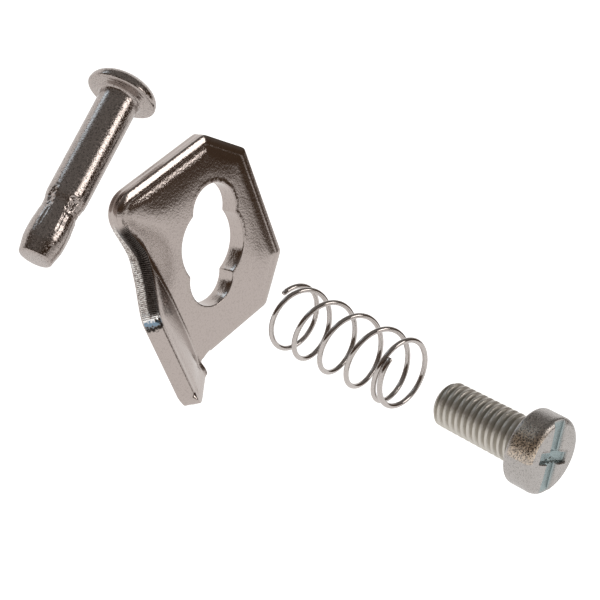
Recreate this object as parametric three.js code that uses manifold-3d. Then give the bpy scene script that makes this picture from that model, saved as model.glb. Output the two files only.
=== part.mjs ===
// Spring latch hardware of a stair gate: a domed pin, a latch plate with a double keyhole slot and
// a folded tab, a compression spring and a machine screw, laid out in the order they go together.
// Millimetres, +Z up. The screw's axis is the Y axis: the screw comes in from -Y.
// The origin is where that axis crosses the front face of the plate, in the slot's lower lobe.
import * as THREE from "three";
import { mergeVertices } from "three/addons/utils/BufferGeometryUtils.js";
import { ParametricGeometry } from "three/addons/geometries/ParametricGeometry.js";
import Module from "manifold-3d";

const wasm = await Module();
wasm.setup();
const degree = Math.PI / 180;

// Screw: M5 thread and a round-edged head with a slot and a cross
const threadDiameter = 5;
const threadPitch = 0.8;
const threadLength = 11;
const threadDepth = 0.46;
const tipChamfer = 0.55;
const headDiameter = 8.4;
const headHeight = 3.2;
const headEdgeRadius = 0.9;
const headCrown = 0.15;
const driveSlotWidth = 1.6;
const driveSlotDepth = 0.8;
const crossWidth = 1.15;
const crossSpan = 4.6;
const crossDepth = 1.2;

// Compression spring: round wire, closed ends
const wireDiameter = 0.6;
const springInnerGap = 0.98; // between the thread and the inside of the coils
const springLength = 18;
const springTurns = 5.96;
const closedTurns = 0.9;
const springStartAngle = 127;

// Latch plate: strip with bevelled corners, one rounded corner and a folded tab
const plateThickness = 2.55;
const plateWidth = 24.8;
const slotOffMiddle = 0.1; // the slot's middle lies this far below the strip's
const endToSlot = 9.4; // from the slot's middle to the bevelled end
const bevel = 4.9;
const cornerRadius = 3;
const foldToSlot = 8; // from the slot's middle to the fold line, halfway down the tab
const foldSlant = 2.6;
const endBeyondFold = 2.35; // what lies past the fold line beside the rounded corner
const slotTurn = 28.6; // angle between the slot and the strip's own width
const plateLean = 9.6; // backward lean of the plate in the laid-out set

// Double keyhole slot: one round hole and two lobes
const holeDiameter = 10;
const lobeGap = 0.95; // between the thread and the wall of a lobe
const lobeOffset = 4.1;

// Folded tab
const foldAngle = 40;
const foldRadius = 1;
const tabLength = 7.15;
const tabWaist = 1.9;
const tabTop = 9.2;
const tabWaistHeight = 5;
const tabShoulderHeight = -1.5;
const tabOverhang = 2.25; // how far the tab reaches past the strip's lower edge
const tabCornerRadius = 1.2;

// Domed pin
const pinDiameter = 4.85;
const pinHeadDiameter = 8.6;
const pinDomeHeight = 2.8;
const pinRim = 0.45;
const pinNeckDiameter = 4.35;
const pinNeckStart = 14.9;
const pinNeckMiddle = 16.1;
const pinBarrelStart = 18.2;
const pinTaperStart = 20.2;
const pinLength = 22.5;
const pinEndDiameter = 4.1;

// Places along the screw's axis, measured forwards from the plate's front face
const springGap = 13.6;
const screwTipGap = 37.4;
// The spring lies a little above that axis and the screw a little below it, within their clearance
const springLift = 0.4;
const screwDrop = 0.25;
// Place and direction of the pin: the middle of its head's underside, and the way its tip points
const pinSeat = new THREE.Vector3(-9.5, 10.2, 19.95);
const pinDirection = new THREE.Vector3(-0.6202, -0.2565, -0.7413).normalize();

const sides = 48;

// A closed geometry as a solid that manifold-3d can cut and join.
function solidOf(geometry) {
  const bare = geometry.clone();
  bare.deleteAttribute("normal");
  bare.deleteAttribute("uv");
  const merged = mergeVertices(bare, 1e-4);
  return new wasm.Manifold(
    new wasm.Mesh({
      numProp: 3,
      vertProperties: new Float32Array(merged.attributes.position.array),
      triVerts: new Uint32Array(merged.index.array),
    }),
  );
}

function geometryOf(solid) {
  const mesh = solid.getMesh();
  const geometry = new THREE.BufferGeometry();
  geometry.setAttribute("position", new THREE.BufferAttribute(mesh.vertProperties, 3));
  geometry.setIndex(new THREE.BufferAttribute(mesh.triVerts, 1));
  geometry.computeVertexNormals();
  return geometry;
}

function namedMesh(name, geometry, color, roughness) {
  const material = new THREE.MeshStandardMaterial({ color, roughness, metalness: 1 });
  const mesh = new THREE.Mesh(geometry, material);
  mesh.name = name;
  return mesh;
}

function smooth(x) {
  const t = THREE.MathUtils.clamp(x, 0, 1);
  return t * t * (3 - 2 * t);
}

// Points of a quarter round from angle a to angle b about a centre, for a lathe profile.
function arcPoints(x, y, radius, a, b, steps) {
  const curve = new THREE.EllipseCurve(x, y, radius, radius, a, b, b < a);
  return curve.getPoints(steps);
}

// A profile of radius and height, turned about the z axis.
function turned(profile) {
  const geometry = new THREE.LatheGeometry(profile, sides);
  geometry.rotateX(Math.PI / 2);
  return geometry;
}

// The pin is turned about its own z axis: the head's underside at 0, the dome above, the tip below.
function pinGeometry() {
  const headRadius = pinHeadDiameter / 2;
  const dome = pinDomeHeight - pinRim;
  const sphere = (headRadius ** 2 + dome ** 2) / (2 * dome);
  const edge = Math.asin(headRadius / sphere);
  const neck = pinNeckDiameter / 2;
  const shank = pinDiameter / 2;
  const profile = [
    new THREE.Vector2(0, -pinLength),
    new THREE.Vector2(pinEndDiameter / 2, -pinLength),
    new THREE.Vector2(shank, -pinTaperStart),
    new THREE.Vector2(shank, -pinBarrelStart),
    new THREE.Vector2(neck, -pinNeckMiddle - 0.5),
    new THREE.Vector2(neck, -pinNeckMiddle + 0.4),
    new THREE.Vector2(shank, -pinNeckStart),
    new THREE.Vector2(shank, 0),
    new THREE.Vector2(headRadius, 0),
  ];
  const domeStart = Math.PI / 2 - edge;
  const crown = arcPoints(0, pinDomeHeight - sphere, sphere, domeStart, Math.PI / 2, 10);
  crown[crown.length - 1].x = 0;
  return turned([...profile, ...crown]);
}

// Outline of the double keyhole, with the slot's length along its own y, turned into the strip.
function slotPoints() {
  const hole = holeDiameter / 2;
  const lobe = threadDiameter / 2 + lobeGap;
  const reach = (hole ** 2 + lobeOffset ** 2 - lobe ** 2) / (2 * lobeOffset);
  const shoulder = Math.sqrt(hole ** 2 - reach ** 2);
  const a = Math.atan2(reach, shoulder);
  const b = Math.atan2(reach - lobeOffset, shoulder);
  const path = new THREE.Path();
  path.absarc(0, 0, hole, -a, a, false);
  path.absarc(0, lobeOffset, lobe, b, Math.PI - b, false);
  path.absarc(0, 0, hole, Math.PI - a, Math.PI + a, false);
  path.absarc(0, -lobeOffset, lobe, Math.PI + b, 2 * Math.PI - b, false);
  const middle = new THREE.Vector2();
  return path.getPoints(14).map((p) => p.rotateAround(middle, -slotTurn * degree));
}

// Where the fold line stands at height v: it slants a little across the strip.
function foldLineAt(v) {
  return -foldToSlot - (v - (tabTop - plateWidth / 2)) * Math.tan(foldSlant * degree);
}

// The flat strip, x towards its bevelled end and y across it, thickness below z = 0.
function stripSolid() {
  const top = slotOffMiddle + plateWidth / 2;
  const bottom = top - plateWidth;
  const end = foldLineAt(tabTop) - endBeyondFold;
  const outline = new THREE.Shape();
  outline.moveTo(foldLineAt(bottom), bottom);
  outline.lineTo(endToSlot - bevel, bottom);
  outline.lineTo(endToSlot, bottom + bevel);
  outline.lineTo(endToSlot, top - bevel);
  outline.lineTo(endToSlot - bevel, top);
  outline.absarc(end + cornerRadius, top - cornerRadius, cornerRadius, Math.PI / 2, Math.PI, false);
  outline.lineTo(end, tabTop);
  outline.lineTo(foldLineAt(tabTop), tabTop);
  outline.closePath();
  outline.holes.push(new THREE.Path(slotPoints()));
  const options = { depth: plateThickness, bevelEnabled: false, curveSegments: 12 };
  const geometry = new THREE.ExtrudeGeometry(outline, options);
  geometry.translate(0, 0, -plateThickness);
  return solidOf(geometry);
}

// How far the sheet reaches past the fold line at height v along the line.
function tabReach(v) {
  const bottom = slotOffMiddle - plateWidth / 2 - tabOverhang;
  const flare = (tabLength - tabWaist) * smooth((tabWaistHeight - v) / (tabWaistHeight - tabShoulderHeight));
  const rise = (endBeyondFold - tabWaist) * smooth((v - tabWaistHeight) / (tabTop - tabWaistHeight));
  const low = THREE.MathUtils.clamp((bottom + tabCornerRadius - v) / tabCornerRadius, 0, 1);
  const round = tabCornerRadius * (1 - Math.sqrt(1 - low * low));
  return tabWaist + flare + rise - round;
}

// The fold opens from nothing at the top of the tab to its full angle below the waist.
function foldAt(v) {
  return foldAngle * degree * smooth((tabTop - v) / (tabTop - tabWaistHeight + 3));
}

// Point of the folded sheet: u past the fold line, v along it, w above the front face.
function foldedPoint(u, v, w, target) {
  const angle = foldAt(v);
  const arc = Math.max(angle, 1e-6) * (foldRadius + 0.42 * plateThickness);
  const turned = THREE.MathUtils.clamp(u / arc, 0, 1) * angle;
  const past = Math.max(u - arc, 0);
  const radius = foldRadius - w;
  const along = Math.min(u, 0) + radius * Math.sin(turned) + past * Math.cos(turned);
  const rise = foldRadius - radius * Math.cos(turned) + past * Math.sin(turned);
  target.set(foldLineAt(v) - along, v, rise);
}

// The tab: sections across the sheet, lofted down the fold line and closed at both ends.
// Each laps the strip a little, except past the strip's lower edge.
function tabSolid() {
  const across = 12;
  const down = 44;
  const bottom = slotOffMiddle - plateWidth / 2 - tabOverhang;
  const lap = 0.6;
  const loop = 2 * across + 2;
  const section = (p, q, target) => {
    const row = Math.round(q * (down + 2));
    const v = THREE.MathUtils.lerp(tabTop, bottom, THREE.MathUtils.clamp((row - 1) / down, 0, 1));
    const capped = row === 0 || row === down + 2;
    const step = Math.round(p * loop) % loop;
    const front = step <= across;
    const share = front ? step / across : (loop - 1 - step) / across;
    const start = -lap * smooth(v - bottom - tabOverhang);
    const u = THREE.MathUtils.lerp(start, tabReach(v), capped ? 0.5 : share);
    foldedPoint(u, v, capped ? -plateThickness / 2 : front ? 0 : -plateThickness, target);
  };
  return solidOf(new ParametricGeometry(section, loop, down + 2));
}

function plateGeometry() {
  return geometryOf(stripSolid().add(tabSolid()));
}

// Helix with closed ends: it climbs one wire thickness a turn there, and steadily in between.
class SpringCurve extends THREE.Curve {
  constructor(radius) {
    super();
    this.radius = radius;
    this.heights = SpringCurve.climb();
  }

  static climb() {
    const steps = 600;
    const rates = Array.from({ length: steps }, (_, i) => {
      const turn = ((i + 0.5) / steps) * springTurns;
      const fromEnd = Math.min(turn, springTurns - turn);
      return smooth((fromEnd - closedTurns) / 0.3 + 0.5);
    });
    const tight = wireDiameter * 1.03;
    const open = rates.reduce((sum, rate) => sum + rate, 0) / steps;
    const rise = springLength - wireDiameter - tight * springTurns;
    const heights = [0];
    for (const rate of rates) {
      heights.push(heights.at(-1) + (tight * springTurns + (rise * rate) / open) / steps);
    }
    return heights;
  }

  getPoint(t, target = new THREE.Vector3()) {
    const place = t * (this.heights.length - 1);
    const low = Math.min(Math.floor(place), this.heights.length - 2);
    const height = THREE.MathUtils.lerp(this.heights[low], this.heights[low + 1], place - low);
    const angle = springStartAngle * degree - t * springTurns * 2 * Math.PI;
    return target.set(this.radius * Math.cos(angle), this.radius * Math.sin(angle), height);
  }
}

// The spring stands on z = 0 of its own frame.
function springGeometry() {
  const radius = threadDiameter / 2 + springInnerGap + wireDiameter / 2;
  const wire = new THREE.Shape();
  wire.absarc(0, 0, wireDiameter / 2, 0, 2 * Math.PI, false);
  const options = {
    steps: Math.round(springTurns * 22),
    curveSegments: 4,
    extrudePath: new SpringCurve(radius),
  };
  const geometry = new THREE.ExtrudeGeometry(wire, options);
  geometry.translate(0, 0, wireDiameter / 2);
  return geometryOf(solidOf(geometry));
}

// The screw points along -z of its own frame: head's underside at 0, head above, thread below.
function screwGeometry() {
  const crest = threadDiameter / 2;
  const root = crest - threadDepth;
  const profile = [
    new THREE.Vector2(0, -threadLength),
    new THREE.Vector2(crest - tipChamfer, -threadLength),
  ];
  const grooves = Math.floor((threadLength - tipChamfer) / threadPitch);
  for (let i = grooves - 1; i >= 0; i -= 1) {
    const middle = -(i + 0.5) * threadPitch;
    profile.push(new THREE.Vector2(crest, middle - threadPitch * 0.44));
    profile.push(new THREE.Vector2(root, middle - threadPitch * 0.06));
    profile.push(new THREE.Vector2(root, middle + threadPitch * 0.06));
    profile.push(new THREE.Vector2(crest, middle + threadPitch * 0.44));
  }
  const head = headDiameter / 2;
  profile.push(new THREE.Vector2(crest, 0));
  profile.push(new THREE.Vector2(head, 0));
  const inner = head - headEdgeRadius;
  const shoulder = headHeight - headCrown - headEdgeRadius;
  profile.push(...arcPoints(inner, shoulder, headEdgeRadius, 0, Math.PI / 2 - 0.1, 7));
  profile.push(new THREE.Vector2(inner * 0.5, headHeight - headCrown * 0.25));
  profile.push(new THREE.Vector2(0, headHeight));
  const body = solidOf(turned(profile));
  const slot = new THREE.BoxGeometry(driveSlotWidth, headDiameter + 2, 2 * driveSlotDepth);
  slot.translate(0, 0, headHeight);
  const cross = new THREE.BoxGeometry(crossSpan, crossWidth, 2 * crossDepth);
  cross.translate(0, 0, headHeight);
  const stem = new THREE.BoxGeometry(crossWidth, crossSpan * 0.7, 2 * crossDepth);
  stem.translate(0, 0, headHeight);
  return geometryOf(body.subtract(solidOf(slot)).subtract(solidOf(cross)).subtract(solidOf(stem)));
}

const latch = new THREE.Group();

const pin = namedMesh("domed_pin", pinGeometry(), 0xb8b0ac, 0.22);
pin.quaternion.setFromUnitVectors(new THREE.Vector3(0, 0, -1), pinDirection);
pin.position.copy(pinSeat);
latch.add(pin);

// The plate leans about the X axis through the lobe, and the strip lies turned in its own plane.
const plateStand = new THREE.Group();
plateStand.rotation.x = -plateLean * degree;
const plateFace = new THREE.Group();
plateFace.position.z = lobeOffset;
plateFace.rotation.x = Math.PI / 2;
const plate = namedMesh("latch_plate", plateGeometry(), 0xb4a9a4, 0.3);
plate.rotation.z = slotTurn * degree;
plateFace.add(plate);
plateStand.add(plateFace);
latch.add(plateStand);

// The spring and the screw share one axis: their own z turned to point along -Y.
const axisFrame = new THREE.Group();
axisFrame.rotation.x = Math.PI / 2;
const spring = namedMesh("compression_spring", springGeometry(), 0xb9b2ae, 0.2);
spring.position.set(0, springLift, springGap);
const screw = namedMesh("clamp_screw", screwGeometry(), 0x9fa09c, 0.38);
screw.position.set(0, -screwDrop, screwTipGap + threadLength);
axisFrame.add(spring, screw);
latch.add(axisFrame);

export default latch;
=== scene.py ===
# Latch hardware of a stair gate: a domed pin, a keyhole-slotted plate with a folded tab,
# a compression spring and a machine screw, laid out in the order they go together.
# Lengths are in millimetres up to the moment a mesh is made, and then in metres.
import math

import bpy
import numpy as np
from mathutils import Matrix, Vector, geometry


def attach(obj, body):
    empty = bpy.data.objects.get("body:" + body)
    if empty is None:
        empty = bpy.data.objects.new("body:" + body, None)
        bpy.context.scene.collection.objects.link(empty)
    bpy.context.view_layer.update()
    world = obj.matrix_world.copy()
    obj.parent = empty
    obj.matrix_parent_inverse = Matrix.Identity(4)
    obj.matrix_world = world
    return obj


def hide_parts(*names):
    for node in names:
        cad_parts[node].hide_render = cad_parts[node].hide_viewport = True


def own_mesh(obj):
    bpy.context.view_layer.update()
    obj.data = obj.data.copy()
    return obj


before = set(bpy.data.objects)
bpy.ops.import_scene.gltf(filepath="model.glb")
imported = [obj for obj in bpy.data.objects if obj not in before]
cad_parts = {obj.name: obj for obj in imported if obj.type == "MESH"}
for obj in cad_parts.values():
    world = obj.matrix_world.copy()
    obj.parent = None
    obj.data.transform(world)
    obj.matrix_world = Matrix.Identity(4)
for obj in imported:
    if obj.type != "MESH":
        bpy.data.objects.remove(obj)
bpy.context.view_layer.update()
millimetre = 0.001
print("frame loaded")


# The S curve 3t^2 - 2t^3, with t held between 0 and 1.
def smooth(value):
    t = np.clip(value, 0.0, 1.0)
    return t * t * (3 - 2 * t)


# Three sine waves crossing at odd angles: a repeatable unevenness between -1 and 1.
def uneven(a, b, shift=0.0):
    waves = np.sin(2.1 * a + 1.3 * b + shift) + np.sin(-1.7 * a + 2.9 * b + 2.4 * shift)
    return (waves + np.sin(3.7 * a - 0.9 * b + 1.1 + shift)) / 3


# A mesh object from points in millimetres and rows of corner numbers, all smooth.
def makePiece(name, points, faces, body, nodeName, values=None):
    mesh = bpy.data.meshes.new(name)
    corners = np.concatenate([np.asarray(part).ravel() for part in faces]).astype(np.int32)
    sides = np.concatenate([np.full(len(part), part.shape[1]) for part in faces])
    starts = np.concatenate([[0], np.cumsum(sides)[:-1]]).astype(np.int32)
    mesh.vertices.add(len(points))
    mesh.vertices.foreach_set("co", (np.asarray(points) * millimetre).astype(np.float32).ravel())
    mesh.loops.add(len(corners))
    mesh.loops.foreach_set("vertex_index", corners)
    mesh.polygons.add(len(sides))
    mesh.polygons.foreach_set("loop_start", starts)
    mesh.update(calc_edges=True)
    mesh.validate()
    mesh.polygons.foreach_set("use_smooth", np.ones(len(mesh.polygons), dtype=bool))
    for key, numbers in (values or {}).items():
        layer = mesh.attributes.new(key, "FLOAT", "POINT")
        layer.data.foreach_set("value", np.asarray(numbers, dtype=np.float32).ravel())
    piece = bpy.data.objects.new(name, mesh)
    bpy.context.scene.collection.objects.link(piece)
    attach(piece, body)
    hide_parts(nodeName)
    print(name, "made with", len(mesh.polygons), "faces")
    return piece


# Corner numbers of a grid of rows by columns, its columns closed into rings.
def ringFaces(rows, columns, first=0, flip=False):
    row, column = np.meshgrid(np.arange(rows - 1), np.arange(columns), indexing="ij")
    here = row * columns
    after = (column + 1) % columns
    corners = [here + column, here + columns + column, here + columns + after, here + after]
    quad = np.stack(corners, axis=-1).reshape(-1, 4)
    return first + (quad[:, ::-1] if flip else quad)


# Corner numbers of a fan from one point to a ring.
def fanFaces(middle, ring, flip=False):
    after = np.roll(ring, -1)
    fan = np.stack([np.full(len(ring), middle), ring, after], axis=-1)
    return fan[:, ::-1] if flip else fan


# Rings with a fan at each end. The two end points are numbered after the last ring.
def closedRings(rows, columns, first=0):
    ends = first + rows * columns
    return [
        ringFaces(rows, columns, first, flip=True),
        fanFaces(ends, first + np.arange(columns), flip=True),
        fanFaces(ends + 1, ends - columns + np.arange(columns)),
    ]


# A profile of radius and height turned about an axis: ring j holds the profile's point j.
def turnedPoints(radius, height, angle):
    x = radius[:, None] * np.cos(angle)[None, :]
    y = radius[:, None] * np.sin(angle)[None, :]
    z = np.repeat(height[:, None], len(angle), axis=1)
    return np.stack([x, y, z], axis=-1)


# Points of a circle's arc between two angles in degrees.
def arc(x, y, radius, start, end, count):
    angle = np.radians(np.linspace(start, end, count))
    return np.stack([x + radius * np.cos(angle), y + radius * np.sin(angle)], axis=-1)


# Puts a polyline's points at even steps along its length.
def evenSteps(line, step):
    gaps = np.linalg.norm(np.diff(line, axis=0), axis=1)
    travel = np.concatenate([[0], np.cumsum(gaps)])
    places = np.linspace(0, travel[-1], max(2, int(round(travel[-1] / step)) + 1))
    return np.stack([np.interp(places, travel, line[:, k]) for k in range(line.shape[1])], axis=-1)


# Domed pin, turned about its own z axis: the head's underside is at 0 and the tip below it.
pinSizes = {
    "seat": (-9.5, 10.2, 19.95),  # middle of the head's underside
    "direction": (-0.6202, -0.2565, -0.7413),  # from the head to the tip
    "radius": 2.42,
    "headRadius": 4.27,
    "headHeight": 2.3,
    "headSink": 0.25,
    "rimHeight": 0.16,
    "rimRadius": 0.32,
    "crownPower": 0.95,
    "neckRadius": 2.16,
    "neckStart": 14.7,
    "neckMiddle": 16.1,
    "barrelStart": 17.9,
    "barrelMiddle": 19.2,
    "taperStart": 20.3,
    "length": 22.5,
    "tipRadius": 2.03,
    "tipRounding": 0.3,
    "crimpMiddle": 15.5,
    "crimpSpread": 1.15,
    "crimpDepth": 0.3,
    "fluteDepth": 0.055,
    "step": 0.07,
    "sides": 180,
}


# Radius and height from the tip up: rounded tip, taper, barrel, crimped neck, shank, fillet,
# hollow underside and rim. The crown's radius is the cosine of a quarter turn, raised to a
# power just below one, and its height is the sine.
def pinProfile():
    p = pinSizes
    r = p["radius"]
    neck = p["neckRadius"]
    edge = p["tipRounding"]
    tip = [(0.0, -p["length"]), (p["tipRadius"] - edge, -p["length"])]
    tipEdge = arc(p["tipRadius"] - edge, -p["length"] + edge, edge, -90, -12, 6)
    body = [
        (r - 0.06, -p["taperStart"] - 0.35),
        (r - 0.01, -p["taperStart"] + 0.2),
        (r, -p["barrelMiddle"]),
        (r - 0.02, -p["barrelStart"] - 0.4),
        (r - 0.1, -p["barrelStart"] + 0.15),
        (neck + 0.09, -p["neckMiddle"] - 0.75),
        (neck, -p["neckMiddle"] - 0.45),
        (neck, -p["neckMiddle"] + 0.35),
        (neck + 0.06, -p["neckMiddle"] + 0.7),
        (r - 0.05, -p["neckStart"] - 0.12),
        (r, -p["neckStart"] + 0.25),
        (r, -0.85),
    ]
    fillet = [(r + 0.03, -0.62), (r + 0.14, -0.42), (r + 0.36, -0.3)]
    low = p["headSink"]
    under = [(r + 0.72, -low), (r + 1.05, 0.02 - low), (r + 1.15, 0.06 - low), (r + 1.42, 0.06 - low)]
    rim = arc(p["headRadius"] - p["rimRadius"], p["rimHeight"], p["rimRadius"], -66, 4, 9)
    turn = np.linspace(0.1, 1.0, 20) * math.pi / 2
    rise = p["headHeight"] - p["rimHeight"] - 0.06
    crownRadius = (p["headRadius"] - 0.01) * np.cos(turn) ** p["crownPower"]
    crown = np.stack([crownRadius, p["rimHeight"] + 0.06 + rise * np.sin(turn)], axis=-1)
    crown[-1] = (0.0, p["headHeight"])
    return np.array([*tip, *tipEdge, *body, *fillet, *under, *rim, *crown])


# Radius of the turned profile, less the dents that the crimping jaws leave round the neck
# and the flutes that they draw down the barrel. Jaws and flutes are powers of a cosine round
# the pin, and the dents fade along it as a bell.
def makePin():
    p = pinSizes
    line = evenSteps(pinProfile()[1:-1], p["step"])
    turn = np.linspace(0, 2 * math.pi, p["sides"], endpoint=False)
    rings = turnedPoints(line[:, 0], line[:, 1], turn)
    turn = turn[None, :]
    height = rings[..., 2]
    neckZone = np.exp(-(((height + p["crimpMiddle"]) / p["crimpSpread"]) ** 2))
    jaw = np.maximum(np.cos(5 * turn + 0.8 * uneven(2 * turn, 3 * height)), 0) ** 2
    crush = 0.55 * uneven(9 * turn, 6.5 * height) + 0.45 * uneven(17 * turn, 11 * height, 2.0)
    crushed = 0.35 * crush * np.abs(uneven(3 * turn, 2 * height, 1))
    dents = p["crimpDepth"] * neckZone * (0.55 * jaw + crushed)
    fluteZone = smooth((-height - 16.6) / 0.4) * smooth((19.4 + height) / 0.5)
    flute = np.maximum(np.cos(7 * turn + 2.2), 0) ** 6
    flute = flute + 0.6 * np.maximum(np.cos(7 * turn + 1.2), 0) ** 10
    away = dents + p["fluteDepth"] * fluteZone * flute
    shrink = 1 - away / np.maximum(np.hypot(rings[..., 0], rings[..., 1]), 0.5)
    rings[..., :2] *= shrink[..., None]
    ends = [[0, 0, -p["length"]], [0, 0, p["headHeight"]]]
    local = np.concatenate([rings.reshape(-1, 3), ends])
    up = -np.array(p["direction"]) / np.linalg.norm(p["direction"])
    side = np.cross([0.0, 0.0, 1.0], up)
    side /= np.linalg.norm(side)
    basis = np.stack([side, np.cross(up, side), up])
    points = local @ basis + np.array(p["seat"])
    faces = closedRings(*rings.shape[:2])
    return makePiece("pressedPin", points, faces, "pin", "domed_pin")


# Compression spring: a helix about -Y, climbing one wire a turn at its closed ends.
springSizes = {
    "wire": 0.3,  # radius of the wire
    "radius": 3.78,
    "start": 13.9,
    "length": 17.4,
    "turns": 5.96,
    "closedTurns": 0.9,
    "closedAtScrew": 1.08,
    "openingTurns": 0.3,
    "closedPitch": 1.03,  # in wire diameters
    "startAngle": 127.0,
    "lift": 0.4,
    "points": 760,
    "sides": 20,
}


# Centre line of the wire: the angle falls evenly, and the climb rate is the same S curve as
# the coils' opening, from touching to open and back.
def springLine():
    s = springSizes
    turn = np.linspace(0, s["turns"], s["points"])
    rate = smooth((turn - s["closedTurns"]) / s["openingTurns"] + 0.5)
    rate *= smooth((s["turns"] - turn - s["closedAtScrew"]) / s["openingTurns"] + 0.5)
    steps = (rate[1:] + rate[:-1]) / 2 * np.diff(turn)
    opened = np.concatenate([[0], np.cumsum(steps)])
    tight = 2 * s["wire"] * s["closedPitch"]
    climb = tight * turn + (s["length"] - tight * s["turns"]) * opened / opened[-1]
    angle = np.radians(s["startAngle"]) - 2 * math.pi * turn
    x = s["radius"] * np.cos(angle)
    z = s["radius"] * np.sin(angle) + s["lift"]
    return np.stack([x, -(s["start"] + climb), z], axis=-1)


# A circle carried along a line, square to it. At each end three rings close up and shrink,
# so the cut end is rounded over.
def sweptWire(line, radius, sides):
    tangent = np.gradient(line, axis=0)
    tangent /= np.linalg.norm(tangent, axis=1)[:, None]
    outward = line * np.array([1.0, 0.0, 1.0]) - np.array([0.0, 0.0, springSizes["lift"]])
    outward -= tangent * np.sum(outward * tangent, axis=1)[:, None]
    outward /= np.linalg.norm(outward, axis=1)[:, None]
    across = np.cross(tangent, outward)
    ease = np.array([0.55, 0.85, 0.97])
    shift = np.array([0.0, 0.045, 0.09])[:, None]
    first = line[0] + tangent[0] * shift
    final = line[-1] - tangent[-1] * shift[::-1]
    path = np.concatenate([first, line[3:-3], final])
    size = np.concatenate([ease, np.ones(len(line) - 6), ease[::-1]]) * radius

    def heldAtEnds(way):
        return np.concatenate([np.repeat(way[:1], 3, axis=0), way[3:-3], np.repeat(way[-1:], 3, axis=0)])

    angle = np.linspace(0, 2 * math.pi, sides, endpoint=False)
    offset = np.cos(angle)[None, :, None] * heldAtEnds(outward)[:, None, :]
    offset = offset + np.sin(angle)[None, :, None] * heldAtEnds(across)[:, None, :]
    rings = path[:, None, :] + size[:, None, None] * offset
    points = np.concatenate([rings.reshape(-1, 3), [path[0], path[-1]]])
    return points, closedRings(len(path), sides)


def makeSpring():
    points, faces = sweptWire(springLine(), springSizes["wire"], springSizes["sides"])
    piece = makePiece("coilSpring", points, faces, "spring", "compression_spring")
    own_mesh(piece)
    return piece


# Machine screw about -Y: its own z runs from the thread's tip to the head.
screwSizes = {
    "crest": 2.5,
    "root": 2.06,
    "swell": 0.09,
    "pitch": 0.8,
    "length": 11.0,
    "tipChamfer": 0.5,
    "threadRows": 400,
    "threadSides": 120,
    "headRadius": 4.19,
    "headHeight": 3.19,
    "edgeRadius": 0.7,
    "lowEdgeRadius": 0.22,
    "crown": 0.15,
    "crownShare": 0.6,
    "topSteps": 190,
    "slotWidth": 1.85,
    "slotDepth": 0.48,
    "crossWidth": 1.35,
    "crossReach": 2.35,
    "crossDepth": 0.72,
    "crossTurn": -9.0,
    "crossTaper": 0.16,
    "crossRise": 0.25,
    "middleRadius": 1.15,
    "middleDepth": 0.15,
    "recessWall": 0.09,
    "burrHeight": 0.05,
    "underHead": 48.4,
    "drop": 0.25,
    "patchBearing": 2.75,
}


# Thread: the radius falls from crest to root and back once a pitch, and the place of the
# crest moves one pitch along for each turn round the screw.
def threadRings():
    s = screwSizes
    columns = s["threadSides"]
    height = np.linspace(-s["length"], 0.0, s["threadRows"])
    angle = np.linspace(0, 2 * math.pi, columns, endpoint=False)
    phase = (height[:, None] / s["pitch"] - angle[None, :] / (2 * math.pi)) % 1.0
    flank = np.clip((np.abs(2 * phase - 1) - 0.06) / 0.6, 0, 1)
    flank = 0.75 * flank + 0.25 * smooth(flank)
    fade = smooth((-height - 0.1) / 0.5)[:, None]
    swell = s["swell"] * (1 + height / s["length"])[:, None]
    radius = s["crest"] + swell - (s["crest"] - s["root"]) * (1 - flank) * fade
    tip = s["crest"] - s["tipChamfer"] + (height + s["length"])[:, None]
    radius = np.minimum(radius, tip)
    x = radius * np.cos(angle)[None, :]
    y = radius * np.sin(angle)[None, :]
    return np.stack([x, y, np.repeat(height[:, None], columns, axis=1)], axis=-1)


# Height of the head's top over a share of its radius: a low crown, then a rounded edge.
def headTop(share):
    s = screwSizes
    flat = s["headRadius"] - s["edgeRadius"]
    split = s["crownShare"]
    inner = np.clip(share / split, 0, 1)
    turn = np.clip((share - split) / (1 - split), 0, 1) * math.pi / 2
    reach = flat * inner + s["edgeRadius"] * np.sin(turn)
    shoulder = s["headHeight"] - s["crown"] - s["edgeRadius"]
    crown = s["crown"] * (1 - (reach / s["headRadius"]) ** 2)
    return reach, shoulder + s["edgeRadius"] * np.cos(turn) + crown


# Depth of the driver recess, the deepest of three cuts at each point: a slot right across, a
# shorter arm that narrows outwards, and a dimple in the middle. A burr stands along the arm.
def recess(x, y, top):
    s = screwSizes
    wall = s["recessWall"]
    height = s["headHeight"]
    inSlot = 1 - smooth((np.abs(x) - s["slotWidth"] / 2 + wall) / (2 * wall))
    slotCut = np.maximum(top - (height - s["slotDepth"]), 0) * inSlot
    y = y - math.tan(math.radians(s["crossTurn"])) * x
    out = np.abs(x) / s["crossReach"]
    width = s["crossWidth"] / 2 * (1 - s["crossTaper"] * out)
    inArm = 1 - smooth((np.abs(y) - width + wall) / (2 * wall))
    inArm *= 1 - smooth((np.abs(x) - s["crossReach"] + wall) / (2 * wall))
    armFloor = height - s["crossDepth"] + s["crossRise"] * out**2
    armCut = np.maximum(top - armFloor, 0) * inArm
    middle = np.maximum(1 - np.hypot(x, y) / s["middleRadius"], 0)
    middleFloor = height - s["crossDepth"] - s["middleDepth"]
    middleCut = np.maximum(top - middleFloor, 0) * smooth(middle * 1.6)
    burr = s["burrHeight"] * np.exp(-(((np.abs(y) - width - 0.12) / 0.1) ** 2))
    burr *= (np.abs(x) < s["crossReach"]) * (1 - inSlot)
    return np.maximum(np.maximum(slotCut, armCut), middleCut) - burr, np.maximum(inSlot, inArm)


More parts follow.
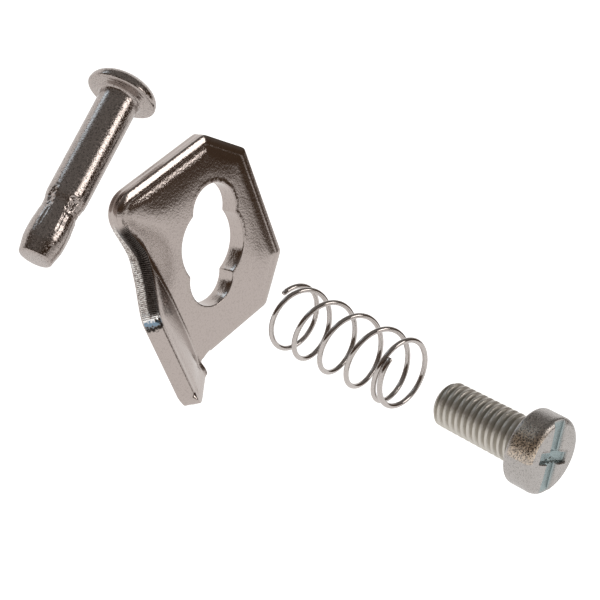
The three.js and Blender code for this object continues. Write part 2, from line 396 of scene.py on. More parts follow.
# The head's top: a square grid drawn out to a disc, so the recess's walls follow its lines.
# It returns the points, their faces, the border's point numbers and how deep each point lies.
def screwTop():
    s = screwSizes
    steps = s["topSteps"]
    edge = np.linspace(-1, 1, steps + 1)
    v, u = np.meshgrid(edge, edge, indexing="ij")
    discX = u * np.sqrt(1 - v * v / 2)
    discY = v * np.sqrt(1 - u * u / 2)
    share = np.hypot(discX, discY)
    reach, height = headTop(share)
    scale = reach / np.maximum(share, 1e-9)
    x = discX * scale
    y = discY * scale
    cut, inside = recess(x, y, height)
    points = np.stack([x, y, height - cut], axis=-1).reshape(-1, 3)
    number = np.arange((steps + 1) ** 2).reshape(steps + 1, steps + 1)
    corners = [number[:-1, :-1], number[:-1, 1:], number[1:, 1:], number[1:, :-1]]
    faces = np.stack(corners, axis=-1).reshape(-1, 4)
    sides = [number[0, :-1], number[:-1, -1], number[-1, :0:-1], number[:0:-1, 0]]
    return points, faces, np.concatenate(sides), (inside * smooth(cut / 0.4)).ravel()


# The head is its top, a turned skirt below it and a flat underside; the thread is a second
# closed body that starts just inside it.
def makeScrew():
    s = screwSizes
    top, topFaces, border, topDepth = screwTop()
    rim = top[border]
    columns = len(border)
    bevel = s["lowEdgeRadius"]
    low = arc(s["headRadius"] - bevel, bevel, bevel, 0, -90, 6)
    seat = np.linspace(3.7, 2.52, 6)
    radii = np.concatenate([[s["headRadius"], s["headRadius"]], low[:, 0], seat])
    levels = np.concatenate([[1.0, 0.6], low[:, 1], np.zeros(6)])
    skirt = turnedPoints(radii, levels, np.arctan2(rim[:, 1], rim[:, 0]))
    rows = len(radii)
    start = len(top)
    firstRing = start + np.arange(columns)
    join = np.stack([border, firstRing, np.roll(firstRing, -1), np.roll(border, -1)], axis=-1)
    underMiddle = start + rows * columns
    under = underMiddle - columns + np.arange(columns)
    threads = threadRings()
    threadStart = underMiddle + 1
    threadEnd = threadStart + threads.shape[0] * threads.shape[1]
    ends = [[0, 0, -s["length"]], [0, 0, 0.02]]
    bodies = [top, skirt.reshape(-1, 3), [[0, 0, 0.05]], threads.reshape(-1, 3), ends]
    local = np.concatenate(bodies)
    faces = [
        topFaces,
        join,
        ringFaces(rows, columns, start),
        fanFaces(underMiddle, under, flip=True),
        *closedRings(*threads.shape[:2], threadStart),
    ]
    y = -local[:, 2] - s["underHead"]
    points = np.stack([local[:, 0], y, local[:, 1] - s["drop"]], axis=-1)
    recessed = np.zeros(len(local))
    recessed[:start] = topDepth
    bearing = np.arctan2(local[:, 1], local[:, 0])
    onSide = np.hypot(local[:, 0], local[:, 1]) > s["headRadius"] - s["edgeRadius"] + 0.05
    # A golden and brown patch at one bearing round the head's side, fading towards the underside.
    sidePatch = onSide * np.exp(-(((bearing - s["patchBearing"]) / 0.5) ** 2))
    sidePatch = sidePatch * smooth((local[:, 2] - 0.1) / 0.5)
    threaded = np.zeros(len(local))
    threaded[threadStart:threadEnd] = 1
    values = {"recessed": recessed, "sidePatch": sidePatch, "threaded": threaded}
    return makePiece("clampScrew", points, faces, "screw", "clamp_screw", values)


# Latch plate, worked out flat and then folded: x towards the bevelled end, y across the strip.
plateSizes = {
    "thickness": 2.55,
    "width": 24.8,
    "offMiddle": 0.1,
    "endToSlot": 9.4,
    "bevel": 4.9,
    "cornerRadius": 3.0,
    "foldToSlot": 8.0,
    "foldSlant": 2.6,
    "endBeyondFold": 2.35,
    "slotTurn": 28.6,
    "lean": 9.6,
    "holeRadius": 5.0,
    "lobeRadius": 3.45,
    "lobeOffset": 4.1,
    "foldAngle": 40.0,
    "foldRadius": 1.0,
    "tabLength": 7.15,
    "tabWaist": 1.9,
    "tabTop": 9.2,
    "waistHeight": 5.0,
    "shoulderHeight": -1.5,
    "overhang": 2.25,
    "tabCorner": 1.2,
    "edgeGrowth": 0.03,
    "rollWidth": 1.15,
    "rollTurn": 27.0,
    "shearTurn": 62.0,
    "cornerShift": 0.25,
    "arris": 0.12,
    "burrWidth": 0.3,
    "wallInset": 0.05,
    "slotFrontEdge": 0.12,
    "slotBackEdge": 0.15,
    "crownWidth": 6.2,
    "crownTilt": 9.0,
    "outlineStep": 0.08,
    "frontStep": 0.3,
    "backStep": 0.4,
    # On these rings the sheared edge's finish is its ribs, with painted shade, painted glints and
    # painted reflection bands.
    "cutRings": 24,  # rings of the section that carry the sheared edge's finish
}


# The fold line's x for a place across the strip: a straight line with a slight slant.
def foldLineAt(v):
    p = plateSizes
    middle = p["tabTop"] - p["width"] / 2
    return -p["foldToSlot"] - (v - middle) * math.tan(math.radians(p["foldSlant"]))


# How far the sheet reaches past the fold: a waist, a long tab below it and a low corner round.
def tabReach(v):
    p = plateSizes
    bottom = p["offMiddle"] - p["width"] / 2 - p["overhang"]
    waist = p["waistHeight"]
    down = smooth((waist - v) / (waist - p["shoulderHeight"]))
    up = smooth((v - waist) / (p["tabTop"] - waist))
    flare = (p["tabLength"] - p["tabWaist"]) * down
    rise = (p["endBeyondFold"] - p["tabWaist"]) * up
    low = np.clip((bottom + p["tabCorner"] - v) / p["tabCorner"], 0, 1)
    return p["tabWaist"] + flare + rise - p["tabCorner"] * (1 - np.sqrt(1 - low * low))


# Rounds a closed polyline's corners by a bell-shaped average along its length.
def softened(line, step, spread):
    loop = evenSteps(np.concatenate([line, line[:1]]), step)[:-1]
    reach = int(4 * spread / step)
    weight = np.exp(-0.5 * (np.arange(-reach, reach + 1) * step / spread) ** 2)
    weight /= weight.sum()
    return sum(w * np.roll(loop, k, axis=0) for k, w in zip(range(-reach, reach + 1), weight))


# Outward normals of a closed line that runs anticlockwise.
def outwardNormals(loop):
    along = np.roll(loop, -1, axis=0) - np.roll(loop, 1, axis=0)
    along /= np.linalg.norm(along, axis=1)[:, None]
    return np.stack([along[:, 1], -along[:, 0]], axis=-1)


# Outline of the flat sheet, anticlockwise: the bevelled strip, a round corner and the tab.
def stripOutline():
    p = plateSizes
    top = p["offMiddle"] + p["width"] / 2
    bottom = top - p["width"]
    end = foldLineAt(p["tabTop"]) - p["endBeyondFold"]
    right = p["endToSlot"]
    strip = [
        (foldLineAt(bottom), bottom),
        (right - p["bevel"], bottom),
        (right, bottom + p["bevel"]),
        (right, top - p["bevel"]),
        (right - p["bevel"], top),
    ]
    corner = arc(end + p["cornerRadius"], top - p["cornerRadius"], p["cornerRadius"], 90, 180, 24)
    v = np.linspace(p["tabTop"], bottom - p["overhang"], 160)
    tab = np.stack([foldLineAt(v) - tabReach(v), v], axis=-1)
    closing = [(foldLineAt(bottom), bottom - p["overhang"])]
    return softened(np.concatenate([strip, corner, tab, closing]), p["outlineStep"], 0.28)


# The double keyhole is the outline of three overlapping circles, turned in the strip.
def slotOutline():
    p = plateSizes
    angle = np.linspace(0, 2 * math.pi, 720, endpoint=False)
    across = p["lobeOffset"] * np.abs(np.sin(angle))
    inLobe = p["lobeRadius"] ** 2 - (p["lobeOffset"] * np.cos(angle)) ** 2
    lobe = across + np.sqrt(np.maximum(inLobe, 0))
    radius = np.maximum(np.where(inLobe > 0, lobe, 0), p["holeRadius"])
    turned = angle - math.radians(p["slotTurn"])
    return softened(np.stack([radius * np.cos(turned), radius * np.sin(turned)], axis=-1), 0.07, 0.12)


# The fold opens from nothing at the top of the tab to its full angle below the waist. Past the
# fold line a point goes round the bend's arc, and then straight on.
def folded(points):
    p = plateSizes
    x, v, w = points[:, 0], points[:, 1], points[:, 2]
    opening = smooth((p["tabTop"] - v) / (p["tabTop"] - p["waistHeight"] + 3))
    angle = math.radians(p["foldAngle"]) * opening
    bottom = p["offMiddle"] - p["width"] / 2
    shift = p["cornerShift"] * smooth((bottom - v) / 1.5)
    line = foldLineAt(v) + shift
    u = foldLineAt(v) - x
    length = np.maximum(angle, 1e-6) * (p["foldRadius"] + 0.42 * p["thickness"])
    turned = np.clip(u / length, 0, 1) * angle
    past = np.maximum(u - length, 0)
    radius = p["foldRadius"] - w
    along = radius * np.sin(turned) + past * np.cos(turned)
    rise = p["foldRadius"] - radius * np.cos(turned) + past * np.sin(turned)
    bent = np.stack([line - along, v, rise], axis=-1)
    return np.where((u > 0)[:, None], bent, np.stack([x + shift, v, w], axis=-1))


# From the strip's own axes to the set's: turned in its plane, stood up, and leaned back.
def stoodUp(points):
    p = plateSizes
    turn = math.radians(p["slotTurn"])
    lean = -math.radians(p["lean"])
    x = points[:, 0] * math.cos(turn) - points[:, 1] * math.sin(turn)
    z = points[:, 0] * math.sin(turn) + points[:, 1] * math.cos(turn) + p["lobeOffset"]
    y = -points[:, 2]
    leaned = [x, y * math.cos(lean) - z * math.sin(lean), y * math.sin(lean) + z * math.cos(lean)]
    return np.stack(leaned, axis=-1)


# Shortest distance from each point to a closed line of points.
def distanceTo(loop, points):
    nearest = [
        np.sqrt(((part[:, None, :] - loop[None, :, :]) ** 2).sum(axis=2)).min(axis=1)
        for part in np.array_split(points, max(1, len(points) // 500))
    ]
    return np.concatenate(nearest)


# True where a point lies inside a closed line: it crosses the line an odd number of times.
def insideLoop(loop, points):
    a = loop
    b = np.roll(loop, -1, axis=0)
    result = []
    for part in np.array_split(points, max(1, len(points) // 500)):
        x = part[:, 0][:, None]
        y = part[:, 1][:, None]
        spans = (a[None, :, 1] > y) != (b[None, :, 1] > y)
        rise = b[None, :, 1] - a[None, :, 1]
        rise = np.where(np.abs(rise) < 1e-12, 1e-12, rise)
        cross = a[None, :, 0] + (y - a[None, :, 1]) * (b[None, :, 0] - a[None, :, 0]) / rise
        result.append((spans & (x < cross)).sum(axis=1) % 2 == 1)
    return np.concatenate(result)


# Fills the sheet between its outer line and its slot with small triangles.
def filledFace(outer, inner, spacing):
    low = outer.min(axis=0)
    high = outer.max(axis=0)
    rows = np.arange(low[1], high[1], spacing * 0.87)
    gridY, gridX = np.meshgrid(rows, np.arange(low[0], high[0], spacing), indexing="ij")
    gridX = gridX + spacing / 2 * (np.arange(len(gridX)) % 2)[:, None]
    grid = np.stack([gridX.ravel(), gridY.ravel()], axis=-1)
    grid = grid[insideLoop(outer, grid) & ~insideLoop(inner, grid)]
    grid = grid[np.minimum(distanceTo(outer, grid), distanceTo(inner, grid)) > spacing * 0.7]
    points = np.concatenate([outer, inner, grid])
    loops = (np.arange(len(outer)), len(outer) + np.arange(len(inner)))
    edges = np.concatenate([np.stack([loop, np.roll(loop, -1)], axis=-1) for loop in loops])
    corners = [Vector(q) for q in points.tolist()]
    filled = geometry.delaunay_2d_cdt(corners, edges.tolist(), [], 1, 1e-6)
    source = np.array([first[0] if first else -1 for first in filled[3]])
    triangles = source[np.array([list(f) for f in filled[2] if len(f) == 3])]
    triangles = triangles[(triangles >= 0).all(axis=1)]
    middle = points[triangles].mean(axis=1)
    triangles = triangles[insideLoop(outer, middle) & ~insideLoop(inner, middle)]
    a, b, c = (points[triangles[:, k]] for k in range(3))
    ab = b - a
    ac = c - a
    area = ab[:, 0] * ac[:, 1] - ab[:, 1] * ac[:, 0]
    triangles = triangles[np.abs(area) > 1e-9]
    area = area[np.abs(area) > 1e-9]
    triangles[area < 0] = triangles[area < 0][:, ::-1]
    return grid, triangles


# Averages a field over its near points with bell-shaped weights, away from the sheet's border.
def evened(points, field, distance):
    result = []
    for part in np.array_split(points, max(1, len(points) // 400)):
        gap = ((part[:, None, :] - points[None, :, :]) ** 2).sum(axis=2)
        weight = np.exp(-gap / (2 * 0.9**2))
        result.append((weight * field[None, :]).sum(axis=1) / weight.sum(axis=1))
    share = smooth((distance - 1.2) / 1.6)
    return field * (1 - share) + np.concatenate(result) * share


# How far the face has fallen at a distance from the edge: a parabola that is flat at the
# crown's width and has its full slope where the roll begins.
def crownDrop(distance):
    p = plateSizes
    span = p["crownWidth"] - p["rollWidth"]
    rest = np.clip((p["crownWidth"] - distance) / span, 0, 1)
    return math.tan(math.radians(p["crownTilt"])) * span / 2 * rest**2


# Widths of the front roll and of the back's turned edge round the outline. They are narrower
# where the line turns tightly, at the fold's lower end and at the end of the tab. The third
# result is one along the sheared side, where the roll is steep.
def borderWidths(outer):
    p = plateSizes
    x, y = outer[:, 0], outer[:, 1]
    bottom = p["offMiddle"] - p["width"] / 2
    foldX = foldLineAt(bottom)

    def near(y0, size):
        return np.exp(-(((x - foldX) ** 2 + (y - y0) ** 2) / size**2))

    tight = near(bottom - p["overhang"], 1.6) + near(bottom, 1.2)
    low = smooth((bottom - 0.2 - y) / 0.8) * (x > foldX - p["tabLength"] + 1.6)
    tabEnd = (x < -4) * smooth((bottom - 0.2 - y) / 0.9)
    tight = np.clip(np.maximum(np.maximum(tight, low), tabEnd), 0, 1)
    sheared = (x < -5.5) * smooth((9.6 - y) / 1.4)
    rollWidth = p["rollWidth"] * (1 - 0.8 * tight) * (1 - 0.25 * sheared)
    return rollWidth, p["burrWidth"] * (1 - 0.4 * tight), sheared


# Section of the border, from the face round to the back, as insets from the outline and
# depths below the face: an arc for the roll, a small arc for the arris, the cut wall and a
# quarter circle for the back's turned edge.
def borderSection(rollWidth, burr, sheared):
    p = plateSizes
    t = p["thickness"]
    arris = p["arris"]
    faceEdge = crownDrop(np.full(len(rollWidth), p["rollWidth"]))
    steep = np.radians(p["rollTurn"] + (p["shearTurn"] - p["rollTurn"]) * sheared)
    flatRoll = rollWidth - arris * (1 - np.sin(steep))
    inset = [rollWidth]
    depth = [faceEdge]
    for share in np.linspace(0.08, 1.0, 8):
        a = share * steep
        inset.append(arris * (1 - np.sin(steep)) + flatRoll * (1 - np.sin(a) / np.sin(steep)))
        depth.append(faceEdge + flatRoll * (1 - np.cos(a)) / np.sin(steep))
    rollEnd = depth[-1]
    for share in np.linspace(0, 1, 5)[1:]:
        a = steep + (math.pi / 2 - steep) * share
        inset.append(arris * (1 - np.sin(a)))
        depth.append(rollEnd + arris * (np.cos(steep) - np.cos(a)))
    wallTop = depth[-1]
    for share in np.linspace(0.1, 0.9, 9):
        inset.append(np.full(len(burr), p["wallInset"] * smooth((share - 0.45) / 0.2)))
        depth.append(wallTop + (t - burr - wallTop) * share)
    for a in np.radians(np.linspace(0, 90, 7)):
        inset.append(p["wallInset"] + burr * (1 - np.cos(a)))
        depth.append(t - burr + burr * np.sin(a))
    return np.stack(inset), np.stack(depth)


# Section of the slot's wall: a small quarter circle at the face, and one at the back.
def slotSection():
    t = plateSizes["thickness"]
    front = plateSizes["slotFrontEdge"]
    back = plateSizes["slotBackEdge"]
    turns = np.radians(np.linspace(0, 90, 6))
    inset = [front * (1 - math.sin(a)) for a in turns] + [0.0, 0.0, 0.0]
    depth = [front * (1 - math.cos(a)) for a in turns] + [t * 0.35, t * 0.6, t - back]
    inset += [back * (1 - math.cos(a)) for a in turns[1:]]
    depth += [t - back + back * math.sin(a) for a in turns[1:]]
    return inset, depth


# Numbers for the ribs and the painted shade and reflections on the border: the travel along it, the
# depth through it, where it is ribbed, and the height across the strip on the cut side (far away
# everywhere else).
def borderValues(count, outer, depth):
    rows, columns = depth.shape
    y = outer[:, 1]
    cutRow = np.zeros((rows, 1))
    cutRow[1 : plateSizes["cutRings"]] = 1
    leftSide = outer[:, 0] < -7
    left = leftSide * smooth((9.8 - y) / 1.6) * smooth((y + 0.9) / 0.9)
    onCut = cutRow * leftSide > 0
    travel = np.arange(columns) * plateSizes["outlineStep"]
    grids = {
        "along": np.tile(travel, (rows, 1)),
        "through": depth / plateSizes["thickness"],
        "ribbed": cutRow * left,
        "level": np.where(onCut, y, 50.0),
    }
    values = {}
    for key, grid in grids.items():
        values[key] = np.full(count, 50.0 if key == "level" else 0.0)
        values[key][: rows * columns] = grid.ravel()
    return values


# Rings round the outline and the slot follow the two sections, and the face and the back are
# filled between them. The outline grows evenly towards the bevelled end. The sheet is worked
# out flat, with the face's fall as a depth, and is then folded and stood up.
def makePlate():
    p = plateSizes
    t = p["thickness"]
    outer = stripOutline()
    inner = slotOutline()
    outerOut = outwardNormals(outer)
    innerOut = -outwardNormals(inner)
    grown = p["edgeGrowth"] * np.clip(outer[:, 0] + 6, 0, None)
    lower = smooth((p["offMiddle"] - outer[:, 1]) / 8)
    outer = outer + np.stack([grown, -0.5 * grown * lower], axis=1)
    inset, outerDepth = borderSection(*borderWidths(outer))
    outerRings = outer - outerOut * inset[..., None]
    slotInset, slotDepth = slotSection()
    innerRings = np.stack([inner - innerOut * k for k in slotInset])
    innerDrop = crownDrop(distanceTo(outer, inner))
    innerDepth = np.stack([k + innerDrop * (1 - k / t) for k in slotDepth])
    frontGrid, frontFaces = filledFace(outerRings[0], innerRings[0], p["frontStep"])
    backGrid, backFaces = filledFace(outerRings[-1], innerRings[-1], p["backStep"])
    toEdge = distanceTo(outer, frontGrid)
    frontDrop = evened(frontGrid, crownDrop(toEdge), toEdge)

    def sheet(points, depths):
        return np.concatenate([points.reshape(-1, 2), -depths.reshape(-1, 1)], axis=1)

    sheets = [
        sheet(outerRings, outerDepth),
        sheet(innerRings, innerDepth),
        sheet(frontGrid, frontDrop),
        sheet(backGrid, np.full(len(backGrid), t)),
    ]
    flat = np.concatenate(sheets)
    columns, slotColumns = len(outer), len(inner)
    slotStart, frontStart, backStart = np.cumsum([len(part) for part in sheets[:3]])

    def renumber(triangles, ringRow, slotRow, gridStart):
        out = triangles.copy()
        ring = triangles < columns
        slotRing = (triangles >= columns) & (triangles < columns + slotColumns)
        rest = triangles >= columns + slotColumns
        out[ring] = triangles[ring] + ringRow * columns
        out[slotRing] = triangles[slotRing] - columns + slotStart + slotRow * slotColumns
        out[rest] = triangles[rest] - columns - slotColumns + gridStart
        return out

    lastRing, lastSlotRing = len(outerRings) - 1, len(innerRings) - 1
    faces = [
        ringFaces(len(outerRings), columns),
        ringFaces(len(innerRings), slotColumns, slotStart, flip=True),
        renumber(frontFaces, 0, 0, frontStart),
        renumber(backFaces, lastRing, lastSlotRing, backStart)[:, ::-1],
    ]
    points = stoodUp(folded(flat))
    values = borderValues(len(flat), outer, outerDepth)
    return makePiece("latchPlate", points, faces, "plate", "latch_plate", values)


# Finishes. Colours are linear; bump heights are in metres.
nickelLook = {
    "color": (0.47, 0.415, 0.39),
    "dark": (0.2, 0.18, 0.17),
    "roughness": 0.08,
    "gritRoughness": 0.6,
    "speckleScale": 5600.0,
    "speckleHeight": 0.000017,
}


# Adds a node, sets its plain inputs and returns it.
def addNode(tree, kind, place, **inputs):
    node = tree.nodes.new(kind)
    node.location = place
    for key, value in inputs.items():
        node.inputs[key].default_value = value
    return node


# Reads one of a piece's own numbers.
def readValue(tree, name, place):
    node = tree.nodes.new("ShaderNodeAttribute")
    node.attribute_name = name
    node.location = place
    return node.outputs["Fac"]


# One step of arithmetic on plain numbers or on other nodes' outputs.
def calculate(tree, operation, first, second=None, clamp=False):
    node = tree.nodes.new("ShaderNodeMath")
    node.operation = operation
    node.use_clamp = clamp
    for socket, value in zip(node.inputs, (first, second)):
        if value is None:
            continue
        if isinstance(value, (int, float)):
            socket.default_value = value
        else:
            tree.links.new(value, socket)
    return node.outputs[0]


# Zero at the low level and one at the high level, straight between them.
def clampedRamp(tree, value, low, high):
    above = calculate(tree, "SUBTRACT", value, low)
    return calculate(tree, "MULTIPLY", above, 1 / (high - low), clamp=True)


# One between two levels, falling to zero over a soft border on both sides.
def band(tree, value, low, high, soft):
    rising = clampedRamp(tree, value, low - soft / 2, low + soft / 2)
    falling = clampedRamp(tree, value, high + soft / 2, high - soft / 2)
    return calculate(tree, "MULTIPLY", rising, falling)


# Goes from the first colour to the second by a share. A colour is a plain value or a socket.
def mixed(tree, share, first, second):
    mix = tree.nodes.new("ShaderNodeMix")
    mix.data_type = "RGBA"
    for key, color in (("A", first), ("B", second)):
        if isinstance(color, tuple):
            mix.inputs[key].default_value = (*color, 1)
        else:
            tree.links.new(color, mix.inputs[key])
    tree.links.new(share, mix.inputs["Factor"])
    return mix.outputs["Result"]


# Lays colours over a metal's own colour, each by its share.
def paintOver(tree, shader, layers):
    last = shader.inputs["Base Color"].links[0].from_socket
    for share, color in layers:
        last = mixed(tree, share, last, color)
    tree.links.new(last, shader.inputs["Base Color"])


# Polished plating: a metal with a fine orange-peel bump over slow waves, and darker, rougher
# spots where the fine noise is low or high.
def platedMetal(name, look, waviness=0.00002):
    material = bpy.data.materials.new(name)
    material.use_nodes = True
    tree = material.node_tree
    shader = tree.nodes["Principled BSDF"]
    shader.inputs["Metallic"].default_value = 1.0
    place = addNode(tree, "ShaderNodeTexCoord", (-1200, 0))
    scale = look["speckleScale"]
    fine = addNode(tree, "ShaderNodeTexNoise", (-900, 0), Scale=scale, Detail=3.0, Roughness=0.6)
    slow = addNode(tree, "ShaderNodeTexNoise", (-900, -260), Scale=520.0, Detail=1.0)
    tree.links.new(place.outputs["Object"], fine.inputs["Vector"])
    tree.links.new(place.outputs["Object"], slow.inputs["Vector"])
    under = addNode(tree, "ShaderNodeBump", (-500, -260), Strength=1.0, Distance=waviness)
    over = addNode(tree, "ShaderNodeBump", (-260, -120), Strength=1.0, Distance=look["speckleHeight"])
    tree.links.new(slow.outputs["Fac"], under.inputs["Height"])
    tree.links.new(fine.outputs["Fac"], over.inputs["Height"])
    tree.links.new(under.outputs["Normal"], over.inputs["Normal"])
    tree.links.new(over.outputs["Normal"], shader.inputs["Normal"])
    grit = clampedRamp(tree, fine.outputs["Fac"], 0.52, 0.64)
    gritty = calculate(tree, "MULTIPLY", grit, look["gritRoughness"])
    tree.links.new(calculate(tree, "ADD", gritty, look["roughness"]), shader.inputs["Roughness"])
    spots = clampedRamp(tree, fine.outputs["Fac"], 0.34, 0.5)
    tree.links.new(mixed(tree, spots, look["dark"], look["color"]), shader.inputs["Base Color"])
    return material, tree, shader, over, fine.outputs["Fac"]


def pinFinish():
    return platedMetal("polishedPin", nickelLook)[0]


def springFinish():
    look = dict(nickelLook, color=(0.54, 0.5, 0.48), dark=(0.45, 0.42, 0.4))
    look = dict(look, roughness=0.08, gritRoughness=0.0, speckleHeight=0.000006)
    return platedMetal("brightWire", look, 0.000004)[0]


screwLook = {
    "color": (0.49, 0.465, 0.45),
    "dark": (0.3, 0.285, 0.27),
    "roughness": 0.27,
    "gritRoughness": 0.2,
    "speckleScale": 6400.0,
    "speckleHeight": 0.00003,
    # painted sheen: a paler colour laid over the thread
    "thread": (0.66, 0.63, 0.57),
    # painted shade: a darker, bluish colour for the driver recess, with a painted bluish reflection
    "recess": (0.33, 0.4, 0.41),
    "golden": (0.82, 0.66, 0.5),
    "brown": (0.12, 0.085, 0.055),
}


# A greyer plating: rougher on the thread and painted paler there, a painted sheen; painted darker and
# bluish in the recess, a painted shade; and with a golden and brown patch on one side of the head.
def screwFinish():
    look = screwLook
    material, tree, shader, over, fine = platedMetal("zincScrew", look)
    # Painted shade: the recess is painted darker and bluish, by how deep it lies.
    recessed = readValue(tree, "recessed", (-900, 300))
    sidePatch = readValue(tree, "sidePatch", (-900, 500))
    threaded = readValue(tree, "threaded", (-900, 700))
    worn = shader.inputs["Roughness"].links[0].from_socket
    worn = calculate(tree, "ADD", worn, calculate(tree, "MULTIPLY", threaded, 0.09))
    tree.links.new(worn, shader.inputs["Roughness"])
    # Painted sheen: the thread is painted paler, standing in for brighter reflections.
    paintedThreadSheen = calculate(tree, "MULTIPLY", threaded, 0.75)
    # The side patch is golden where the fine noise is high and brown where it is low.
    golden = calculate(tree, "MULTIPLY", sidePatch, clampedRamp(tree, fine, 0.4, 0.6))
    brown = calculate(tree, "MULTIPLY", sidePatch, clampedRamp(tree, fine, 0.5, 0.38))
    # Painted sheen on the thread and painted shade in the recess, with the golden and brown side patch,
    # over the plating's colour.
    layers = (
        (paintedThreadSheen, look["thread"]),
        (recessed, look["recess"]),
        (golden, look["golden"]),
        (brown, look["brown"]),
    )
    paintOver(tree, shader, layers)
    return material


# The sheared left edge keeps its ribs, square to the face, and its front part is painted near black, a
# painted dark reflection, while its back part has pale painted glint flecks. The ribs are a sine of the
# travel along the edge. Where the ribs end there are three painted reflection bands, white, blue and
# black, with borders that the fine noise makes uneven.
def plateFinish():
    look = dict(nickelLook, dark=(0.42, 0.37, 0.345), roughness=0.12, gritRoughness=0.0)
    look = dict(look, speckleScale=3600.0, speckleHeight=0.000015)
    material, tree, shader, over, fine = platedMetal("polishedPlate", look, 0.00001)
    level = readValue(tree, "level", (-1400, 700))
    along = readValue(tree, "along", (-1400, 500))
    ribbed = readValue(tree, "ribbed", (-1400, 300))
    through = readValue(tree, "through", (-1400, 100))
    wave = calculate(tree, "SINE", calculate(tree, "MULTIPLY", along, 27.0))
    rough = calculate(tree, "MULTIPLY", fine, 3.0)
    height = calculate(tree, "MULTIPLY", calculate(tree, "ADD", wave, rough), ribbed)
    ribs = addNode(tree, "ShaderNodeBump", (-60, -300), Strength=1.0, Distance=0.00005)
    tree.links.new(height, ribs.inputs["Height"])
    tree.links.new(over.outputs["Normal"], ribs.inputs["Normal"])
    tree.links.new(ribs.outputs["Normal"], shader.inputs["Normal"])
    # Painted shade: the front part of the ribbed edge is painted near black in streaks along the ribs, a
    # painted dark reflection.
    front = calculate(tree, "MULTIPLY", calculate(tree, "SUBTRACT", 0.62, through), 9.0, clamp=True)
    streaky = calculate(tree, "ADD", wave, calculate(tree, "MULTIPLY", rough, 1.2))
    streak = clampedRamp(tree, streaky, 2.8, 1.4)
    paintedShadeStreaks = calculate(tree, "ADD", calculate(tree, "MULTIPLY", streak, 0.25), 0.75)
    dark = calculate(tree, "MULTIPLY", calculate(tree, "MULTIPLY", ribbed, front), paintedShadeStreaks)
    back = calculate(tree, "SUBTRACT", 1.0, front)
    # Painted highlights: pale flecks on the back part of the ribbed edge, where the fine noise is high,
    # stand in for glints.
    paintedGlintFlecks = calculate(tree, "MULTIPLY", clampedRamp(tree, fine, 0.42, 0.55), back)
    paintedGlintFlecks = calculate(tree, "MULTIPLY", paintedGlintFlecks, calculate(tree, "MULTIPLY", ribbed, 0.9))
    # Painted reflections: white, blue and black bands across the cut side's height, where the ribs end.
    uneasy = calculate(tree, "ADD", level, calculate(tree, "MULTIPLY", fine, 1.6))
    paintedWhiteReflection = band(tree, uneasy, -0.1, 0.4, 0.35)
    paintedBlueReflection = calculate(tree, "MULTIPLY", band(tree, uneasy, -0.75, -0.1, 0.3), 0.8)
    paintedBlackReflection = band(tree, uneasy, -1.35, -0.75, 0.3)
    # Painted dark reflection, painted glint flecks and painted white, blue and black reflection bands
    # over the plate's metal colour.
    layers = (
        (dark, (0.028, 0.021, 0.016)),
        (paintedGlintFlecks, (0.95, 0.92, 0.88)),
        (paintedWhiteReflection, (0.97, 0.96, 0.95)),
        (paintedBlueReflection, (0.13, 0.25, 0.36)),
        (paintedBlackReflection, (0.03, 0.025, 0.02)),
    )
    paintOver(tree, shader, layers)
    return material


# Studio: a bright table and back wall, a dim room above them, and soft boxes. Lengths here
# are in metres, and bearings go from -Y towards +X, in degrees.
studioSizes = {
    "white": (1.0, 0.985, 0.97),
    "brown": (0.075, 0.048, 0.03),
    "dim": (0.19, 0.18, 0.17),
    "wallTop": 0.56,
    "dresser": (60, 7),  # bearing and height of a dark piece of furniture
    "floorLevel": -0.15,
    "floorReach": 6.0,
    "boxDistance": 0.6,
    "boxWidth": 0.2,
    "boxes": {
        "keyBox": {"aim": (26, 27), "tall": 0.24, "brightness": 3.4, "color": (1.0, 0.97, 0.94)},
        "coolBox": {"aim": (-155, 42), "tall": 0.16, "brightness": 1.5, "color": (0.7, 0.87, 1.0)},
    },
}


# Unit vector towards a bearing and a height above the horizon.
def wayTo(bearing, height):
    a, e = math.radians(bearing), math.radians(height)
    return Vector((math.sin(a) * math.cos(e), -math.cos(a) * math.cos(e), math.sin(e)))


# The room by direction: below a line that is low at the sides and high at the back it is
# white, and above it dim. The camera itself always sees white.
def makeStudio():
    s = studioSizes
    world = bpy.data.worlds.new("studio")
    bpy.context.scene.world = world
    world.use_nodes = True
    tree = world.node_tree
    background = tree.nodes["Background"]
    way = addNode(tree, "ShaderNodeTexCoord", (-1400, 0)).outputs["Generated"]
    split = addNode(tree, "ShaderNodeSeparateXYZ", (-1200, 0))
    tree.links.new(way, split.inputs[0])
    x, y, z = (split.outputs[key] for key in "XYZ")
    behind = calculate(tree, "ADD", y, calculate(tree, "MULTIPLY", x, 0.5))
    line = calculate(tree, "MULTIPLY", clampedRamp(tree, behind, 0.45, 0.65), s["wallTop"])
    above = clampedRamp(tree, calculate(tree, "SUBTRACT", z, line), -0.03, 0.06)
    upper = mixed(tree, clampedRamp(tree, z, 0.25, 0.75), s["brown"], s["dim"])
    room = mixed(tree, above, s["white"], upper)
    facing = tree.nodes.new("ShaderNodeVectorMath")
    facing.operation = "DOT_PRODUCT"
    facing.inputs[1].default_value = wayTo(*s["dresser"])
    tree.links.new(way, facing.inputs[0])
    onDresser = clampedRamp(tree, facing.outputs["Value"], 0.968, 0.99)
    room = mixed(tree, onDresser, room, s["brown"])
    seen = tree.nodes.new("ShaderNodeLightPath").outputs["Is Camera Ray"]
    tree.links.new(mixed(tree, seen, room, (1, 1, 1)), background.inputs["Color"])


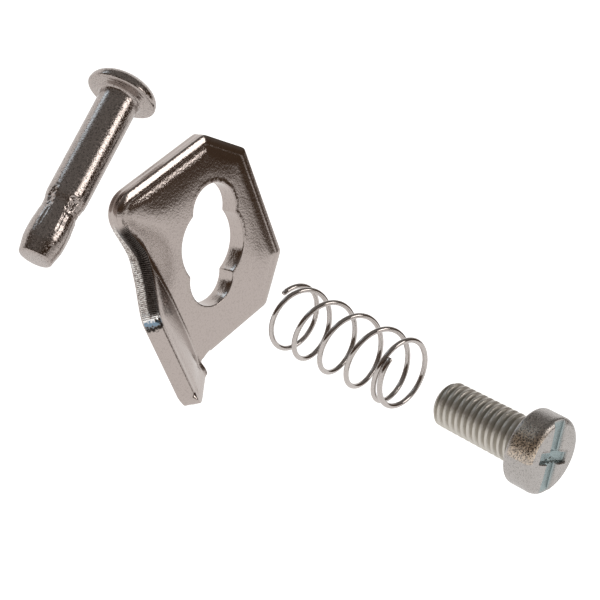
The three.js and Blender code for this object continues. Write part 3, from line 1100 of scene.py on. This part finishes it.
# A rectangular soft box that faces the set.
def softBox(name, aim, tall, brightness, color):
    width = studioSizes["boxWidth"]
    light = bpy.data.lights.new(name, "AREA")
    light.shape = "RECTANGLE"
    light.size = width
    light.size_y = tall
    light.energy = brightness * math.pi * width * tall
    light.color = color
    lamp = bpy.data.objects.new(name, light)
    way = wayTo(*aim)
    lamp.location = way * studioSizes["boxDistance"]
    lamp.rotation_euler = way.to_track_quat("Z", "Y").to_euler()
    lamp.visible_camera = False
    bpy.context.scene.collection.objects.link(lamp)


# A wide floor that glows white and is left out of the reflections.
def makeFloor():
    mesh = bpy.data.meshes.new("floor")
    half = studioSizes["floorReach"]
    level = studioSizes["floorLevel"]
    corners = [(-half, -half, level), (half, -half, level), (half, half, level), (-half, half, level)]
    mesh.from_pydata(corners, [], [(0, 1, 2, 3)])
    floor = bpy.data.objects.new("floor", mesh)
    bpy.context.scene.collection.objects.link(floor)
    material = bpy.data.materials.new("paleFloor")
    material.use_nodes = True
    shader = material.node_tree.nodes["Principled BSDF"]
    shader.inputs["Base Color"].default_value = (0.9, 0.9, 0.9, 1)
    shader.inputs["Emission Color"].default_value = (1, 1, 1, 1)
    shader.inputs["Emission Strength"].default_value = 1.0
    shader.inputs["Roughness"].default_value = 1.0
    mesh.materials.append(material)
    floor.visible_glossy = False


# The camera's place in metres, and its own axes in the set's frame.
cameraView = {
    "lens": 90,
    "sensor": 36,
    "place": (-0.12134, -0.12174, 0.05819),
    "right": (0.69585, -0.69582, 0.17785),
    "up": (0.11431, 0.35178, 0.92908),
    "forward": (0.70904, 0.62616, -0.32433),
}


def makeCamera():
    view = cameraView
    data = bpy.data.cameras.new("camera")
    data.lens = view["lens"]
    data.sensor_width = view["sensor"]
    data.clip_start = 0.005
    data.clip_end = 30
    camera = bpy.data.objects.new("camera", data)
    axes = (Vector(view["right"]), Vector(view["up"]), -Vector(view["forward"]))
    turn = Matrix(axes).transposed().to_4x4()
    camera.matrix_world = Matrix.Translation(view["place"]) @ turn
    bpy.context.scene.collection.objects.link(camera)
    bpy.context.scene.camera = camera


finishes = (
    (makePin(), pinFinish),
    (makePlate(), plateFinish),
    (makeSpring(), springFinish),
    (makeScrew(), screwFinish),
)
for piece, finish in finishes:
    piece.data.materials.append(finish())
print("finishes set")

makeStudio()
makeFloor()
for boxName, box in studioSizes["boxes"].items():
    softBox(boxName, **box)
makeCamera()
bpy.context.scene.view_settings.view_transform = "Standard"
print("studio set")
